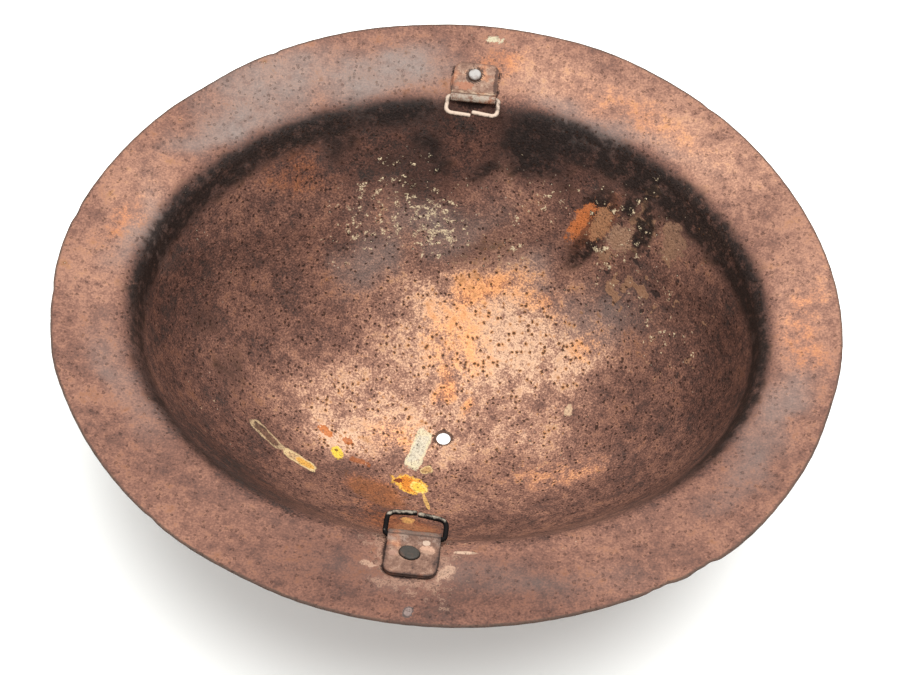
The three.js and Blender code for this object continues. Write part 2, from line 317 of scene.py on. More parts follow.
# The outer face takes every second or third row, and all those of the seat.
outer_rows = [*range(row_count - 1, edge_start, -2), *range(edge_start, CROWN_ROWS, -3)]
for row in [*outer_rows, *range(CROWN_ROWS - 1, -1, -1)]:
    rings.append(shell_ring(row, SHEET, points_round(row)))
    marks.append(ring_marks(row, 0.0, points_round(row)))
shell = rings_to_mesh("helmet_shell", rings)

# How light the rust is, as soft ovals in millimetres seen from above, each drawing the tone under
# it towards its own. 0 is black patina and 1 is bare cream rust. Broad ovals first.
PATINA = table(
    "x y long wide turn tone",
    (-84, 18, 42, 66, 0, 0.46),
    (-84, -28, 36, 28, 0, 0.42),
    (-38, 6, 36, 34, 20, 0.84),
    (-57, 52, 24, 16, 20, 0.50),
    (-2, 4, 34, 24, 0, 0.80),
    (10, -34, 50, 13, 0, 0.62),
    (-42, -38, 20, 13, -25, 0.52),
    (44, 8, 26, 17, 0, 0.68),
    (88, 12, 22, 42, 0, 0.47),
    (50, -16, 26, 8, 8, 0.74),
    (64, 52, 24, 16, -25, 0.46),
    (15, 45, 46, 27, -8, 1.02),
    (13, 62, 15, 5, -5, 0.87),
    (-16, 0, 14, 11, 0, 0.92),
    (33, 4, 18, 10, 0, 0.80),
    (-36, 66, 16, 7, 15, 0.62),
    (52, 38, 14, 10, -20, 0.90),
    (-45, -8, 10, 8, 0, 0.98),
    (0, 93, 120, 15, 0, 0.28),
    (-15, 75, 38, 7, 5, 0.60),
    (14, 84, 26, 6, -5, 0.62),
    (-75, 77, 14, 6, 35, 0.42),
    (-91, 67, 7, 4, 45, 0.46),
    (57, 79, 18, 5, -25, 0.45),
    (84, 60, 18, 9, -45, 0.52),
    (-70, -72, 46, 17, -38, 0.22),
    (112, 4, 11, 46, 0, 0.34),
    (-113, 8, 9, 44, 0, 0.34),
    (20, -72, 60, 18, 0, 0.52),
    (98, -52, 26, 12, 50, 0.36),
)
BRIM_TONE = 0.60
BRIM_PATINA = table(
    "x y long wide turn tone",
    (-128, 34, 26, 17, 70, 0.74),
    (-138, -8, 18, 14, 90, 0.69),
    (-130, -44, 22, 14, -65, 0.60),
    (-98, -84, 26, 15, -40, 0.55),
    (-66, -110, 20, 14, -25, 0.57),
    (-25, -124, 34, 18, -8, 0.46),
    (32, -124, 34, 18, 8, 0.45),
    (84, -102, 26, 14, 32, 0.58),
    (114, -66, 22, 15, 52, 0.53),
    (134, -32, 20, 15, 75, 0.60),
    (138, 16, 34, 16, 90, 0.75),
    (96, 88, 44, 20, -38, 0.76),
    (34, 116, 40, 18, -12, 0.76),
    (-36, 115, 26, 16, 8, 0.60),
    (-78, 107, 26, 14, 25, 0.67),
)

# The black below the shoulder, by the angle round it, as far down in millimetres as it reaches,
# and blots of it that lie apart.
SOOT_BAND = table(
    "at broad reach black",
    (12, 18, 14, 1.0),
    (45, 16, 18, 1.0),
    (75, 6.5, 14, 1.0),
    (104, 6.5, 9, 0.9),
    (126, 10, 10, 0.9),
    (152, 12, 13, 0.95),
    (180, 12, 13, 0.8),
    (212, 12, 7, 0.55),
    (236, 9, 6, 0.45),
    (336, 18, 12, 0.7),
)
SOOT_BLOTS = table(
    "x y long wide turn soot",
    (28, 92, 16, 7, -10, 0.95),
    (5, 89, 8, 3, 0, 0.75),
    (-18, 92, 9, 4, 0, 0.75),
    (-60, 88, 10, 4, 20, 0.7),
    (-30, 84, 22, 5, 5, 0.5),
    (76, 65, 6, 5, 0, 1.0),
    (66, 73, 5, 4, -30, 0.95),
    (51, 71, 10, 3.5, -5, 0.85),
    (53, 79, 8, 3, -30, 0.8),
    (5, 71, 20, 4, -5, 0.36),
    (-90, 4, 5, 9, 0, 0.4),
    (-104, 18, 4, 8, 10, 0.42),
)

# Where rust has come off in flakes, where grey lies over it, a bloom and on the brim by the shoulder a painted
# sheen, and where it is orange.
FLAKING = table(
    "x y long wide turn flaking",
    (76, 58, 32, 18, -35, 1.0),
    (98, 22, 12, 30, 10, 0.7),
    (56, 40, 22, 10, -30, 0.5),
    (-12, 77, 42, 8, 5, 0.45),
)
BLOOM_AND_SHEEN = table(
    "x y long wide turn bloom",
    (-127, 20, 22, 7, 80, 0.55),
    (-101, 78, 26, 8, 38, 0.8),
    (-86, 98, 34, 16, 30, 0.7),
    (-38, 114, 28, 13, 8, 0.9),
    (56, 98, 40, 6, -22, 0.45),
    (130, -32, 20, 10, 75, 0.5),
    (116, -62, 22, 9, 52, 0.4),
    (-118, -50, 30, 8, -55, 0.35),
    (20, -118, 60, 8, 3, 0.25),
    (-40, 62, 16, 8, 20, 0.5),
    (30, 65, 12, 6, -10, 0.5),
    (64, 48, 22, 10, -25, 0.45),
    (-15, 76, 30, 6, 5, 0.5),
)
WARM = table(
    "x y long wide turn warm",
    (5, 125, 11, 7, 0, 0.45),
    (139, 6, 26, 9, 90, 0.36),
    (70, 103, 34, 8, -28, 0.27),
    (-134, 22, 12, 7, 80, 0.4),
    (48, 75, 6, 3.5, 10, 1.0),
    (56, 75, 6, 4, 0, 0.8),
    (-4, 28, 5, 9, 10, 0.8),
    (2, 44, 18, 16, 0, 0.62),
    (14, 61, 18, 6, -5, 0.75),
    (38, 58, 12, 6, -20, 0.5),
    (57, 41, 8, 5, 0, 0.45),
    (9, 17, 4, 4, 0, 0.6),
    (-18, -3, 12, 10, 0, 0.5),
    (-24, -36, 16, 8, -20, 0.75),
    (50, -16, 24, 8, 8, 0.35),
    (-75, 74, 14, 7, 35, 0.4),
    (-12, -58, 18, 13, 0, 0.85),
)

# Where cream specks stand thick.
SPECKS = table(
    "x y long wide turn specks",
    (-18, 78, 24, 12, 5, 0.95),
    (-42, 73, 22, 13, 20, 0.8),
    (14, 72, 20, 7, -5, 0.6),
    (66, 66, 28, 14, -35, 0.7),
    (88, 40, 24, 15, -60, 0.6),
    (30, 82, 26, 8, -8, 0.6),
    (-94, -30, 14, 40, 10, 0.35),
    (40, 0, 34, 22, 0, 0.4),
    (12, -106, 22, 5, 3, 0.5),
    (-110, 40, 8, 22, 15, 0.4),
)


def soft_oval(x, y, oval):
    """How much of a soft oval lies on each point, from 1 at its middle."""
    turn = math.radians(oval["turn"])
    over = ((x - oval["x"]) * math.cos(turn) + (y - oval["y"]) * math.sin(turn)) / oval["long"]
    up = ((y - oval["y"]) * math.cos(turn) - (x - oval["x"]) * math.sin(turn)) / oval["wide"]
    return np.exp(-((over**2 + up**2) ** 1.4))


def drawn_towards(values, x, y, ovals, what):
    for oval in ovals:
        values = values + (oval[what] - values) * soft_oval(x, y, oval)
    return values


def store(piece, name, values):
    piece.data.attributes.new(name, "FLOAT", "POINT").data.foreach_set("value", values.astype(np.float32))


OUTSIDE_TONE = 0.46
SOOT_FADE = 8
points = np.vstack(rings) * 1000
inner, degrees, below, edge = np.vstack(marks).T
out_on_brim = np.interp(below, (-0.5, 1.5), (1, 0))

# The ovals are read at places that stray by some millimetres, so that their borders wander.
x, y, _ = points.T
stray_x = x + 3.0 * np.sin(y * 0.13 + 1) + 1.6 * np.sin(x * 0.31 + y * 0.22)
stray_y = y + 2.2 * np.sin(x * 0.12 + 2) + 1.4 * np.sin(y * 0.35 - x * 0.19)
bowl_tone = drawn_towards(np.full(len(points), 0.5), stray_x, stray_y, PATINA, "tone")
brim_tone = drawn_towards(np.full(len(points), BRIM_TONE), stray_x, stray_y, BRIM_PATINA, "tone")
tone = bowl_tone + (brim_tone - bowl_tone) * out_on_brim

clean = np.zeros(len(points))
black = bumps_round(degrees, SOOT_BAND, "black")
reach = bumps_round(degrees, SOOT_BAND, "reach") / np.maximum(black, 0.3)
band = np.clip(black, 0, 1) * np.interp(below, (-0.5, 2.9), (0, 1))
band *= np.clip((reach + SOOT_FADE / 2 - below) / SOOT_FADE, 0, 1)
soot = np.maximum(band, drawn_towards(clean, stray_x, stray_y, SOOT_BLOTS, "soot"))

# What the finish reads at each point: these amounts, on the inner face alone.
store(shell, "tone", tone * inner + OUTSIDE_TONE * (1 - inner))
store(shell, "soot", soot * inner)
for name, ovals in (("flaking", FLAKING), ("bloom", BLOOM_AND_SHEEN), ("warm", WARM), ("specks", SPECKS)):
    store(shell, name, drawn_towards(clean, stray_x, stray_y, ovals, name) * inner)
store(shell, "inner", inner)
store(shell, "edge", edge)
store(shell, "bowl", (1 - out_on_brim) * inner)


def add_node(tree, kind, inputs, **settings):
    """A node with its settings, whose inputs are given numbers, colours or other nodes' outputs."""
    node = tree.nodes.new(kind)
    for name, value in settings.items():
        setattr(node, name, value)
    for name, value in inputs.items():
        if isinstance(value, bpy.types.NodeSocket):
            tree.links.new(value, node.inputs[name])
        else:
            node.inputs[name].default_value = value
    return node


def worked_out(tree, operation, first, second, third=None):
    inputs = {0: first, 1: second}
    if third is not None:
        inputs[2] = third
    return add_node(tree, "ShaderNodeMath", inputs, operation=operation).outputs[0]


def times(tree, first, second, plus=0.0):
    return worked_out(tree, "MULTIPLY_ADD", first, second, plus)


def eased(tree, value, start, end):
    """0 at the start value and 1 at the end value, with a soft change between them."""
    inputs = {"Value": value, "From Min": start, "From Max": end}
    return add_node(tree, "ShaderNodeMapRange", inputs, interpolation_type="SMOOTHSTEP").outputs["Result"]


def laid_over(tree, share, under, over, way="MIX"):
    inputs = {0: share, 6: under, 7: over}
    return add_node(tree, "ShaderNodeMix", inputs, data_type="RGBA", blend_type=way).outputs[2]


def new_group(name, inputs, outputs):
    """A shader node group with named sockets, given as name and kind."""
    group = bpy.data.node_groups.new(name, "ShaderNodeTree")
    for label, kind in inputs.items():
        group.interface.new_socket(label, in_out="INPUT", socket_type=kind)
    for label, kind in outputs.items():
        group.interface.new_socket(label, in_out="OUTPUT", socket_type=kind)
    return group, group.nodes.new("NodeGroupInput").outputs, group.nodes.new("NodeGroupOutput").inputs


def use_group(tree, group, inputs):
    return add_node(tree, "ShaderNodeGroup", inputs, node_tree=group).outputs


NUMBER = "NodeSocketFloat"
VECTOR = "NodeSocketVector"

# The grain of rust at three sizes, with its specks, its pits, the halos round them and its height.
rust_grain, given, made = new_group(
    "rust_grain",
    {"Place": VECTOR, "Size": NUMBER},
    {
        "Broad": NUMBER, "Mottle": NUMBER, "Fine": NUMBER,
        "Specks": NUMBER, "Pits": NUMBER, "Halos": NUMBER, "Height": NUMBER,
    },
)
finer = worked_out(rust_grain, "DIVIDE", 1.0, given["Size"])
spread = {0: given["Place"], "Scale": finer}
place = add_node(rust_grain, "ShaderNodeVectorMath", spread, operation="SCALE").outputs[0]
for output, scale, detail in (("Broad", 0.07, 2), ("Mottle", 0.26, 3), ("Fine", 1.25, 3)):
    inputs = {"Vector": place, "Scale": scale, "Detail": detail, "Roughness": 0.62}
    rust_grain.links.new(add_node(rust_grain, "ShaderNodeTexNoise", inputs).outputs[0], made[output])
mottle, fine = (made[output].links[0].from_socket for output in ("Mottle", "Fine"))
cells = add_node(rust_grain, "ShaderNodeTexVoronoi", {"Vector": place, "Scale": 0.5})
chance = add_node(rust_grain, "ShaderNodeSeparateColor", {0: cells.outputs["Color"]})
ragged = times(rust_grain, fine, 0.6, plus=cells.outputs["Distance"])
for output, channel, least, size, soft in (
    ("Specks", 1, 0.80, 0.42, 0.06),
    ("Pits", 0, 0.66, 0.58, 0.06),
    ("Halos", 0, 0.66, 0.78, 0.14),
):
    chosen = worked_out(rust_grain, "GREATER_THAN", chance.outputs[channel], least)
    dot = eased(rust_grain, ragged, size + soft, size - soft)
    rust_grain.links.new(times(rust_grain, chosen, dot), made[output])
pits = made["Pits"].links[0].from_socket
height = times(rust_grain, mottle, 0.5)
height = times(rust_grain, fine, 0.32, plus=height)
height = times(rust_grain, pits, -0.25, plus=height)
rust_grain.links.new(height, made["Height"])

# Where an amount, roughened by some unevenness, reaches a half.
ragged_patch, given, made = new_group(
    "ragged_patch",
    {"Amount": NUMBER, "Unevenness": NUMBER, "Raggedness": NUMBER, "Softness": NUMBER},
    {"Mask": NUMBER},
)
reached = times(ragged_patch, given["Unevenness"], given["Raggedness"], plus=given["Amount"])
low = worked_out(ragged_patch, "SUBTRACT", 0.5, given["Softness"])
high = worked_out(ragged_patch, "ADD", 0.5, given["Softness"])
ragged_patch.links.new(eased(ragged_patch, reached, low, high), made["Mask"])

# A boxy oval with a ragged border, and the darker or paler line that dries along it; it draws both stains and
# painted shade.
stain_and_shade_oval, given, made = new_group(
    "stain_and_shade_oval",
    {
        "Place": VECTOR, "Unevenness": NUMBER, "Centre": VECTOR, "Long": NUMBER,
        "Wide": NUMBER, "Turn": NUMBER, "Squareness": NUMBER, "Ragged": NUMBER,
    },
    {"Mask": NUMBER, "Outline": NUMBER},
)
moved = add_node(
    stain_and_shade_oval, "ShaderNodeVectorMath", {0: given["Place"], 1: given["Centre"]}, operation="SUBTRACT"
)
turning = {"Vector": moved.outputs[0], "Angle": times(stain_and_shade_oval, given["Turn"], -1.0)}
turned = add_node(stain_and_shade_oval, "ShaderNodeVectorRotate", turning, rotation_type="Z_AXIS")
split = add_node(stain_and_shade_oval, "ShaderNodeSeparateXYZ", {0: turned.outputs[0]})
powers = []
for axis, reach_name in ((0, "Long"), (1, "Wide")):
    far = worked_out(stain_and_shade_oval, "DIVIDE", split.outputs[axis], given[reach_name])
    far = worked_out(stain_and_shade_oval, "ABSOLUTE", far, 0.0)
    powers.append(worked_out(stain_and_shade_oval, "POWER", far, given["Squareness"]))
total = worked_out(stain_and_shade_oval, "ADD", *powers)
inverse = worked_out(stain_and_shade_oval, "DIVIDE", 1.0, given["Squareness"])
root = worked_out(stain_and_shade_oval, "POWER", total, inverse)
root = times(stain_and_shade_oval, given["Unevenness"], given["Ragged"], plus=root)
mask = eased(stain_and_shade_oval, root, 1.06, 0.94)
stain_and_shade_oval.links.new(mask, made["Mask"])
rim = eased(stain_and_shade_oval, root, 0.62, 0.86)
stain_and_shade_oval.links.new(times(stain_and_shade_oval, rim, mask), made["Outline"])


def new_material(name):
    """An empty material with its shader and the place on the piece in millimetres."""
    material = bpy.data.materials.new(name)
    material.use_nodes = True
    tree = material.node_tree
    where = add_node(tree, "ShaderNodeTexCoord", {}).outputs["Object"]
    scaled = add_node(tree, "ShaderNodeVectorMath", {0: where, "Scale": 1000}, operation="SCALE")
    return material, tree, tree.nodes["Principled BSDF"], scaled.outputs[0]


def stored(tree, name):
    return add_node(tree, "ShaderNodeAttribute", {}, attribute_name=name).outputs["Fac"]


def patch_mask(tree, unevenness, name, raggedness, softness):
    """Where a stored amount, made ragged, covers the piece."""
    inputs = {
        "Amount": stored(tree, name),
        "Unevenness": unevenness,
        "Raggedness": raggedness,
        "Softness": softness,
    }
    return use_group(tree, ragged_patch, inputs)["Mask"]


def stain_and_shade_masks(tree, place, unevenness, stain_and_shade_row):
    """The mask and outline of one row of stains and painted shade, in millimetres and degrees."""
    inputs = {
        "Place": place,
        "Unevenness": unevenness,
        "Centre": (stain_and_shade_row["x"], stain_and_shade_row["y"], 0),
        "Long": stain_and_shade_row["long"],
        "Wide": stain_and_shade_row["wide"],
        "Turn": math.radians(stain_and_shade_row["turn"]),
        "Squareness": stain_and_shade_row["square"],
        "Ragged": stain_and_shade_row["ragged"],
    }
    return use_group(tree, stain_and_shade_oval, inputs)


def finish_steel(tree, shader, colour, roughness, specular, height):
    """Give the shader its colour, its roughness, its weak shine and its uneven surface."""
    tree.links.new(colour, shader.inputs["Base Color"])
    tree.links.new(roughness, shader.inputs["Roughness"])
    shader.inputs["Specular IOR Level"].default_value = specular
    bump = add_node(tree, "ShaderNodeBump", {"Height": height, "Strength": 1.0, "Distance": 0.001})
    tree.links.new(bump.outputs[0], shader.inputs["Normal"])


def spread_tone(tree, tone, grain, broad, mottle, fine):
    """The tone with the grain's three sizes of unevenness added to it."""
    for name, strength in (("Broad", broad), ("Mottle", mottle), ("Fine", fine)):
        tone = times(tree, grain[name], strength, plus=tone)
    return worked_out(tree, "SUBTRACT", tone, (broad + mottle + fine) / 2)


def rust_colour(tree, tone, stops):
    ramp = add_node(tree, "ShaderNodeValToRGB", {0: tone})
    elements = ramp.color_ramp.elements
    while len(elements) < len(stops):
        elements.new(0.5)
    for element, (at, colour) in zip(elements, stops.items()):
        element.position = at
        element.color = (*colour, 1)
    return ramp.outputs[0]


RUST_TONES = {
    0.00: (0.008, 0.006, 0.005),
    0.20: (0.032, 0.015, 0.011),
    0.40: (0.080, 0.036, 0.026),
    0.60: (0.154, 0.074, 0.052),
    0.80: (0.285, 0.150, 0.102),
    1.00: (0.550, 0.350, 0.230),
}
shell_rust, tree, shader, place = new_material("shell_rust")
grain = use_group(tree, rust_grain, {"Place": place, "Size": 1.0})
unevenness = spread_tone(tree, 0.0, grain, 0.9, 1.1, 0.7)

# The bowl is more coarsely grained than the brim.
tone = spread_tone(tree, stored(tree, "tone"), grain, 0.5, 0.55, 0.45)
coarse = spread_tone(tree, 0.0, grain, 0.15, 0.25, 0.40)
tone = times(tree, coarse, stored(tree, "bowl"), plus=tone)
colour = rust_colour(tree, tone, RUST_TONES)

warm_mask = patch_mask(tree, unevenness, "warm", 1.3, 0.4)
colour = laid_over(tree, warm_mask, colour, (1.25, 0.91, 0.60, 1), "MULTIPLY")

# Grey over the rust: a bloom, and on the brim by the shoulder a painted sheen.
bloom_and_sheen_mask = patch_mask(tree, unevenness, "bloom", -0.6, 0.6)
bloom_and_sheen_share = times(tree, bloom_and_sheen_mask, times(tree, grain["Mottle"], 1.5))
colour = laid_over(tree, bloom_and_sheen_share, colour, (0.190, 0.160, 0.145, 1))

# Tan flakes stand up from the rust and dark patches have sunk into it, where it flakes.
flaking = times(tree, stored(tree, "flaking"), 0.3, plus=-0.3)
flake_noise = add_node(
    tree, "ShaderNodeTexNoise", {"Vector": place, "Scale": 0.11, "Detail": 3, "Roughness": 0.55}
).outputs[0]
flaked = worked_out(tree, "ADD", flaking, flake_noise)
tan_flakes = eased(tree, flaked, 0.545, 0.56)
colour = laid_over(tree, tan_flakes, colour, (0.215, 0.115, 0.068, 1))
sunk_noise = worked_out(tree, "SUBTRACT", 1.0, flake_noise)
sunk = worked_out(tree, "ADD", flaking, sunk_noise)
sunk_patches = eased(tree, sunk, 0.565, 0.59)
sunk_share = times(tree, sunk_patches, 0.85)
colour = laid_over(tree, sunk_share, colour, (0.024, 0.016, 0.014, 1))

# Soot lies over all of that, black and a little shinier than the rust.
soot_mask = patch_mask(tree, unevenness, "soot", 1.3, 0.4)
soot_colour = laid_over(tree, grain["Fine"], (0.001, 0.001, 0.001, 1), (0.018, 0.012, 0.010, 1))
soot_share = times(tree, soot_mask, eased(tree, grain["Mottle"], 0.22, 0.52))
colour = laid_over(tree, times(tree, soot_share, 0.95), colour, soot_colour)

# Pits, orange round them in pale rust, and cream specks and crusts.
pitted = times(tree, stored(tree, "bowl"), 0.55, plus=0.25)
in_pale_rust = times(tree, eased(tree, tone, 0.72, 0.98), pitted)
halo_share = times(tree, grain["Halos"], in_pale_rust)
colour = laid_over(tree, halo_share, colour, (0.34, 0.145, 0.055, 1))
pit_share = times(tree, grain["Pits"], pitted)
colour = laid_over(tree, pit_share, colour, (0.024, 0.010, 0.006, 1))
specked = times(tree, stored(tree, "specks"), 0.9, plus=unevenness)
specked = eased(tree, specked, 0.08, 0.40)
speck_share = times(tree, grain["Specks"], specked)
speck_share = times(tree, speck_share, times(tree, soot_mask, -0.6, plus=0.9))
colour = laid_over(tree, speck_share, colour, (0.50, 0.40, 0.30, 1))
crusted = times(tree, stored(tree, "specks"), 0.30, plus=grain["Mottle"])
crusted = times(tree, eased(tree, crusted, 0.78, 0.84), eased(tree, grain["Fine"], 0.44, 0.56))
colour = laid_over(tree, crusted, colour, (0.46, 0.37, 0.24, 1))

# Dried paint, chalk and yellow rust, a dark ring round the crown's hole and painted shade round the brackets'
# feet, in millimetres and degrees. A square of 2 is an ellipse and more is boxier. Each has a colour for its
# middle and its outline, and how much of each is seen.
STAINS_AND_SHADE = table(
    "x y long wide turn square ragged middle filled outline drawn",
    (0, 0, 4.3, 4.2, 0, 2, 0.5, (0.05, 0.03, 0.025), 0.3, (0.05, 0.028, 0.02), 0.8),
    (-24, -36, 13, 6, -20, 2, 1.8, (0.20, 0.075, 0.030), 0.5, (0.22, 0.085, 0.030), 0.2),
    (-10.0, -6.8, 10.3, 3.3, 79, 6, 0.7, (0.46, 0.43, 0.33), 0.85, (0.52, 0.44, 0.28), 0.8),
    (-11.6, -26.8, 7.6, 4.4, -26, 2.2, 1.4, (0.50, 0.170, 0.020), 0.9, (0.62, 0.360, 0.060), 0.9),
    (-7.0, -28.6, 4.2, 2.6, -35, 2.4, 1.0, (0.66, 0.420, 0.060), 0.9, (0.66, 0.460, 0.130), 0.9),
    (-3.2, -37.0, 5.6, 0.8, -70, 2.2, 1.0, (0.55, 0.330, 0.100), 0.7, (0.55, 0.330, 0.100), 0.5),
    (-16.4, -25.6, 1.7, 1.3, 0, 2, 1.8, (0.11, 0.018, 0.010), 0.9, (0.16, 0.030, 0.012), 0.8),
    (-5.4, -17.2, 2.4, 1.7, 20, 2, 1.6, (0.40, 0.240, 0.090), 0.7, (0.52, 0.400, 0.200), 0.7),
    (-44.3, -16.0, 3.4, 2.2, -62, 2.2, 1.2, (0.62, 0.430, 0.040), 0.9, (0.60, 0.400, 0.060), 0.9),
    (-44.8, -15.2, 0.8, 0.6, 0, 2, 1.4, (0.10, 0.040, 0.010), 0.9, (0.16, 0.080, 0.012), 0.8),
    (-50.9, -6.6, 3.6, 1.9, -50, 2, 2.2, (0.40, 0.115, 0.022), 0.8, (0.36, 0.100, 0.022), 0.5),
    (-41.2, -8.8, 2.9, 1.7, -20, 2, 2.2, (0.34, 0.090, 0.018), 0.8, (0.30, 0.080, 0.018), 0.5),
    (-34.0, -18.6, 3.4, 1.4, -10, 2, 2.4, (0.26, 0.075, 0.020), 0.7, (0.24, 0.070, 0.020), 0.4),
    (-73.0, -19.6, 9.0, 2.3, -34, 3, 0.8, (0.115, 0.068, 0.040), 0.5, (0.40, 0.290, 0.165), 0.8),
    (-58.6, -27.2, 7.6, 2.6, -24, 3, 0.6, (0.44, 0.290, 0.150), 0.9, (0.50, 0.380, 0.200), 0.8),
    (-56.0, -28.2, 4.2, 1.7, -24, 2.2, 1.0, (0.52, 0.270, 0.050), 0.9, (0.50, 0.280, 0.070), 0.8),
    (52.8, 15.5, 2.2, 1.5, 80, 2.5, 1.4, (0.44, 0.300, 0.190), 0.9, (0.40, 0.270, 0.170), 0.8),
    (66.5, 67.5, 5.4, 3.0, -10, 2.5, 2.8, (0.230, 0.130, 0.080), 0.9, (0.25, 0.150, 0.095), 0.8),
    (58.0, 72.8, 4.4, 3.2, 30, 2.5, 2.8, (0.260, 0.125, 0.062), 0.9, (0.26, 0.120, 0.060), 0.8),
    (49.4, 75.4, 5.2, 2.4, 22, 2.2, 2.2, (0.400, 0.120, 0.035), 0.85, (0.34, 0.110, 0.040), 0.8),
    (88.0, 58.6, 6.5, 3.0, -50, 2.4, 2.2, (0.190, 0.105, 0.065), 0.8, (0.19, 0.105, 0.065), 0.5),
    (-0.6, -113.5, 13.5, 11.8, -4, 3.5, 1.8, (0.26, 0.150, 0.100), 0.2, (0.29, 0.170, 0.118), 0.45),
    (-15.0, -117.0, 4.5, 1.6, -25, 2, 3.2, (0.40, 0.260, 0.180), 0.45, (0.32, 0.200, 0.140), 0.5),
    (12.4, -117.6, 3.6, 1.5, 60, 2, 3.2, (0.40, 0.260, 0.180), 0.45, (0.32, 0.200, 0.140), 0.5),
    # These two dark boxes lie under the brackets and show round their feet as painted shade.
    (-0.2, -112.6, 9.9, 9.15, 0, 5, 0.2, (0.03, 0.014, 0.010), 0.9, (0.02, 0.010, 0.008), 0.95),
    (-1.0, 112.6, 10.2, 9.3, 0, 5, 0.4, (0.03, 0.014, 0.010), 0.9, (0.02, 0.010, 0.008), 0.9),
    (19.0, -107.8, 4.6, 0.7, 4, 2, 1.0, (0.40, 0.280, 0.200), 0.8, (0.30, 0.190, 0.130), 0.5),
    (-8.6, -53.6, 2.4, 2.2, 30, 2, 2.6, (0.50, 0.270, 0.085), 0.75, (0.42, 0.190, 0.070), 0.6),
    (-6.0, -59.5, 8.0, 3.6, 5, 2, 3.0, (0.30, 0.125, 0.055), 0.6, (0.26, 0.105, 0.050), 0.5),
    (1.8, -135.8, 2.6, 1.8, 70, 2, 1.0, (0.200, 0.170, 0.160), 0.6, (0.03, 0.022, 0.02), 0.8),
    (5.2, 134.4, 5.2, 1.9, -4, 2.2, 3.6, (0.420, 0.400, 0.270), 0.75, (0.36, 0.270, 0.190), 0.5),
)
inner_share = stored(tree, "inner")
broken = times(tree, eased(tree, grain["Fine"], 0.30, 0.44), inner_share)
for stain_and_shade_row in STAINS_AND_SHADE:
    found = stain_and_shade_masks(tree, place, unevenness, stain_and_shade_row)
    for mask, share, paint in (("Mask", "filled", "middle"), ("Outline", "drawn", "outline")):
        seen = times(tree, found[mask], times(tree, broken, stain_and_shade_row[share]))
        colour = laid_over(tree, seen, colour, (*stain_and_shade_row[paint], 1))

# A fine unevenness of the whole colour, stronger in the bowl, and the dark raw edge.
contrast = times(tree, stored(tree, "bowl"), 0.7, plus=0.9)
centred = worked_out(tree, "SUBTRACT", grain["Fine"], 0.5)
speckled = times(tree, centred, contrast, plus=1.0)
speckled = add_node(tree, "ShaderNodeCombineXYZ", {0: speckled, 1: speckled, 2: speckled}).outputs[0]
colour = laid_over(tree, 0.8, colour, speckled, "MULTIPLY")

edge_mask = eased(tree, stored(tree, "edge"), 0.80, 0.95)
edge_share = times(tree, edge_mask, times(tree, grain["Mottle"], 1.3))
colour = laid_over(tree, edge_share, colour, (0.045, 0.035, 0.028, 1))

roughness = times(tree, grain["Fine"], 0.22, plus=0.70)
roughness = times(tree, soot_mask, -0.22, plus=roughness)
height = times(tree, tan_flakes, 0.10, plus=grain["Height"])
height = times(tree, sunk_patches, -0.10, plus=height)
finish_steel(tree, shader, colour, roughness, 0.15, height)

shell.data.materials.append(shell_rust)
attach(shell, "helmet")
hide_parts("shell")

# The strap brackets, each a strip of sheet folded over the loop's wire and riveted to the brim
# through both layers. Their outer corners are round, and the far one's fold is lighter on top, worn and with a
# painted highlight.
STRIP = 0.0008
STRIP_SLIT = 0.00015
STRIP_BEVEL = 0.0002
BRACKET_WIDTH = 0.019
BRACKET_LENGTH = 0.017
BRACKET_CORNER = 0.0038
FOLD_SLOPE = math.radians(40)
FOLD_EASE = 0.0003
BARREL_END = 0.0016
SHADE_AT = 0.0018
SHADE_WIDTH = 0.0003
CREASE_AT = 0.0030
CREASE_WIDTH = 0.0009
RIM_DARK_BAND = 0.0009
LAP_FROM = 0.004  # where the lower layer bulges out past the upper one, on one side
LAP_LENGTH = 0.009
WIDTH_UNEVEN = 0.006
LUMPS = 0.00008
EYE_FROM_CORNER = 0.001
WIRE = 0.0019
CLEARANCE = 0.0003
FAR = {"name": "far", "turn": 0, "shift": -0.001}
NEAR = {"name": "near", "turn": 180, "shift": -0.0002}

eye_inside = WIRE / 2 + CLEARANCE
eye_height = CLEARANCE + STRIP + eye_inside
lower_layer = CLEARANCE + STRIP / 2
upper_layer = lower_layer + STRIP + STRIP_SLIT
bracket_end = EYE_FROM_CORNER + BRACKET_LENGTH


def side_frame(side):
    """From a side's own frame, X along the brim, Y out over it and Z square to it."""
    corner_height = RIM_HEIGHT + RIM_WAVE - BRIM_AT_SIDES * math.tan(BRIM_RISE)
    return (
        Matrix.Rotation(math.radians(side["turn"]), 4, "Z")
        @ Matrix.Translation((side["shift"], BOWL_WIDTH / 2, corner_height))
        @ Matrix.Rotation(BRIM_RISE, 4, "X")
    )


def outs_to_corner():
    """Places along a layer, closer together where the outer corners are rounded."""
    straight = list(np.linspace(EYE_FROM_CORNER, bracket_end - BRACKET_CORNER, 15))
    turns = np.linspace(0, math.pi / 2, 9)[1:]
    return straight + [bracket_end - BRACKET_CORNER * (1 - math.sin(turn)) for turn in turns]


